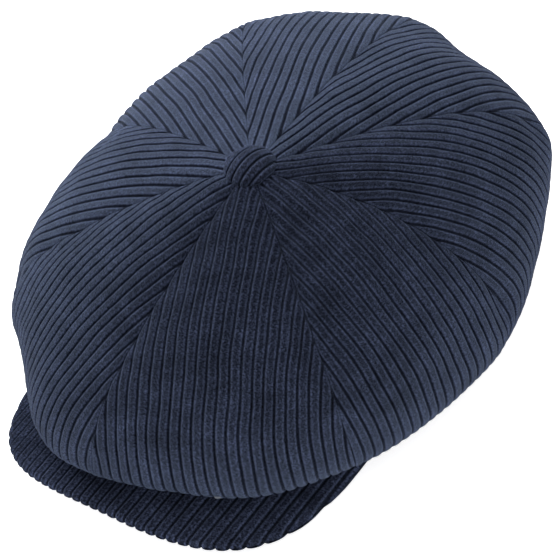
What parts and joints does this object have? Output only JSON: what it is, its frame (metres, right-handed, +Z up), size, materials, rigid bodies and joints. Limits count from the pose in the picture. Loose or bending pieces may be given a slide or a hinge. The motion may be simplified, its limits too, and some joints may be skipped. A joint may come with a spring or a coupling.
{
  "type": "newsboy cap",
  "caption": "Corduroy newsboy cap with a puffed crown of gores, a covered top button, a short stiff visor that flexes at its seam, a satin lining and a sweatband.",
  "frame": {"origin": "centre of the head opening, in the plane of the rim's level back half", "axes": "+Z up through the crown to the button, -Y forward over the visor, +X to the wearer's left"},
  "size_m": [0.2348, 0.282, 0.1032],
  "materials": {
    "corduroy": "wide-wale cotton corduroy, dark navy, velvety pile",
    "lining_satin": "smooth dark satin with a soft sheen",
    "sweatband_cotton": "ribbed cotton band, matt",
    "woven_tape": "stiff woven tape, matt",
    "thread": "twisted sewing thread",
    "light_thread": "twisted sewing thread, light grey-blue",
    "label": "woven ribbon label, left blank",
    "button_metal": "pressed plated steel",
    "visor_board": "smooth moulded sheet"
  },
  "bodies": {
    "crown": {"crown_gore_front_left": "corduroy", "crown_gore_front_right": "corduroy", "crown_gore_left_front": "corduroy", "crown_gore_right_front": "corduroy", "crown_gore_left_back": "corduroy", "crown_gore_right_back": "corduroy", "crown_gore_back_left": "corduroy", "crown_gore_back_right": "corduroy", "lining_gore_front_left": "lining_satin", "lining_gore_front_right": "lining_satin", "lining_gore_left_front": "lining_satin", "lining_gore_right_front": "lining_satin", "lining_gore_left_back": "lining_satin", "lining_gore_right_back": "lining_satin", "lining_gore_back_left": "lining_satin", "lining_gore_back_right": "lining_satin", "sweatband": "sweatband_cotton", "rim_tape": "woven_tape", "sweatband_stitching": "thread", "size_label": "label", "care_label": "label", "button_cover": "corduroy", "button_shell": "button_metal", "button_base": "button_metal", "button_washer": "button_metal", "crown_tack_stitch": "light_thread"},
    "visor": {"visor_board": "visor_board", "visor_top_cover": "corduroy", "visor_under_cover": "corduroy"}
  },
  "joints": [
    {"name": "visor_flex", "type": "hinge", "parent": "crown", "child": "visor", "pos_m": [0, -0.046, 0.006], "axis": [1, 0, 0], "range_deg": [0, 12], "stiffness_Nm_per_rad": 0.5, "springref_deg": -5.73}
  ]
}
